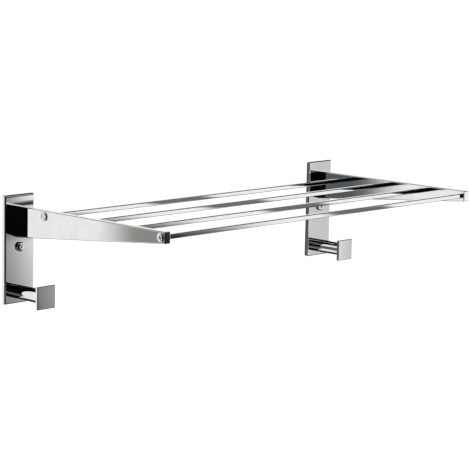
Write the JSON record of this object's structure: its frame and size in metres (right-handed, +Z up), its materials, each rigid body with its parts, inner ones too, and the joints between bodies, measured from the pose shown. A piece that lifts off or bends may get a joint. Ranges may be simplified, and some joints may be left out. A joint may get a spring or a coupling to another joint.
{
  "type": "towel rack",
  "caption": "Wall-mounted towel shelf: square rails between two tapered arms on wall plates, with a round-stemmed robe hook at the foot of each plate.",
  "frame": {"origin": "centre of the four wall holes, on the plane of the wall", "axes": "+X along the wall to the right as seen from the room, +Y into the wall, +Z up"},
  "size_m": [0.65, 0.286, 0.1465],
  "materials": {
    "polished_chrome": "mirror polished",
    "chrome_screw": "polished",
    "zinc_plated_steel": "bright zinc plated, rolled",
    "zinc_plated_screw": "bright zinc plated"
  },
  "bodies": {
    "root": {"left_wall_plate": "polished_chrome", "right_wall_plate": "polished_chrome", "left_arm": "polished_chrome", "right_arm": "polished_chrome", "rear_rail": "polished_chrome", "rear_middle_rail": "polished_chrome", "front_middle_rail": "polished_chrome", "front_rail": "polished_chrome", "left_hook_stem": "polished_chrome", "right_hook_stem": "polished_chrome", "left_hook_plate": "polished_chrome", "right_hook_plate": "polished_chrome", "left_plate_screw": "chrome_screw", "right_plate_screw": "chrome_screw", "left_rail_screws": "chrome_screw", "right_rail_screws": "chrome_screw", "left_mounting_bracket": "zinc_plated_steel", "right_mounting_bracket": "zinc_plated_steel", "left_arm_screws": "zinc_plated_screw", "right_arm_screws": "zinc_plated_screw", "left_hook_screw": "zinc_plated_screw", "right_hook_screw": "zinc_plated_screw"}
  },
  "joints": []
}
